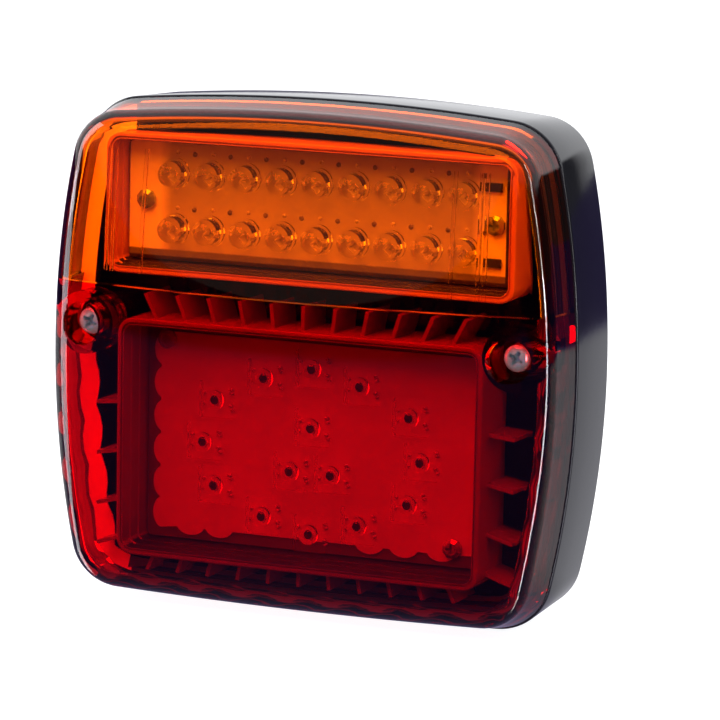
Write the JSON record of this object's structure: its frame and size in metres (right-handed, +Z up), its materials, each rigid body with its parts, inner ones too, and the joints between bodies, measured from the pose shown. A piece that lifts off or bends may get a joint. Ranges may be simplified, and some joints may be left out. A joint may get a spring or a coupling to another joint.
{
  "type": "trailer tail light",
  "caption": "Surface-mounted rear lamp with an amber field over a red field, black tray housing, screwed two-colour lens and LED boards.",
  "frame": {"origin": "middle of the housing's flat mounting face", "axes": "+Y out of the mounting face, away from the lens; the lens looks towards -Y; +X to the right as seen from the lens side; +Z up"},
  "size_m": [0.104, 0.0368, 0.0976],
  "materials": {
    "black_plastic": "polished black ABS",
    "amber_lens": "clear amber polycarbonate",
    "red_lens": "clear red polycarbonate",
    "well_plastic": "pale grey moulded plastic",
    "board": "white solder mask on laminate",
    "clear_resin": "clear epoxy",
    "seal_rubber": "black rubber",
    "zinc_steel": "bright zinc plate",
    "brass": "turned brass",
    "terminal_plastic": "cream nylon",
    "resistor_black": "black glaze with tinned ends",
    "red_insulation": "PVC insulation",
    "amber_insulation": "PVC insulation",
    "white_insulation": "PVC insulation",
    "brown_insulation": "PVC insulation"
  },
  "bodies": {
    "base": {"housing": "black_plastic", "lens_seal": "seal_rubber", "amber_light_well": "well_plastic", "red_light_well": "well_plastic", "amber_board": "board", "red_board": "board", "cable_grommet": "seal_rubber", "terminal_block": "terminal_plastic", "red_lead": "red_insulation", "amber_lead": "amber_insulation", "earth_lead": "white_insulation", "bridge_lead": "brown_insulation", "brass_insert_left": "brass", "brass_insert_right": "brass", "amber_board_screw_1": "zinc_steel", "amber_board_screw_2": "zinc_steel", "red_board_screw_1": "zinc_steel", "red_board_screw_2": "zinc_steel", "amber_led_upper_1": "clear_resin", "amber_led_upper_2": "clear_resin", "amber_led_upper_3": "clear_resin", "amber_led_upper_4": "clear_resin", "amber_led_upper_5": "clear_resin", "amber_led_upper_6": "clear_resin", "amber_led_upper_7": "clear_resin", "amber_led_upper_8": "clear_resin", "amber_led_upper_9": "clear_resin", "amber_led_lower_1": "clear_resin", "amber_led_lower_2": "clear_resin", "amber_led_lower_3": "clear_resin", "amber_led_lower_4": "clear_resin", "amber_led_lower_5": "clear_resin", "amber_led_lower_6": "clear_resin", "amber_led_lower_7": "clear_resin", "amber_led_lower_8": "clear_resin", "amber_led_lower_9": "clear_resin", "red_ring_led_1": "clear_resin", "red_ring_led_2": "clear_resin", "red_ring_led_3": "clear_resin", "red_ring_led_4": "clear_resin", "red_ring_led_5": "clear_resin", "red_ring_led_6": "clear_resin", "red_ring_led_7": "clear_resin", "red_ring_led_8": "clear_resin", "red_ring_led_9": "clear_resin", "red_ring_led_10": "clear_resin", "red_ring_led_11": "clear_resin", "red_ring_led_12": "clear_resin", "red_inner_led_1": "clear_resin", "red_inner_led_2": "clear_resin", "red_inner_led_3": "clear_resin", "resistor_1": "resistor_black", "resistor_2": "resistor_black"},
    "lens_cover": {"amber_lens": "amber_lens", "red_lens": "red_lens", "screw_o_ring_left": "seal_rubber", "screw_o_ring_right": "seal_rubber"},
    "left_screw": {"lens_screw_left": "zinc_steel"},
    "right_screw": {"lens_screw_right": "zinc_steel"}
  },
  "joints": [
    {"name": "lens_lift", "type": "slide", "parent": "base", "child": "lens_cover", "axis": [0, -1, 0], "range_m": [0, 0.03]},
    {"name": "left_screw_turn", "type": "hinge", "parent": "lens_cover", "child": "left_screw", "pos_m": [-0.0432, -0.0264, 0.0047], "axis": [0, -1, 0], "continuous": true},
    {"name": "right_screw_turn", "type": "hinge", "parent": "lens_cover", "child": "right_screw", "pos_m": [0.0432, -0.0264, 0.0047], "axis": [0, -1, 0], "continuous": true}
  ]
}
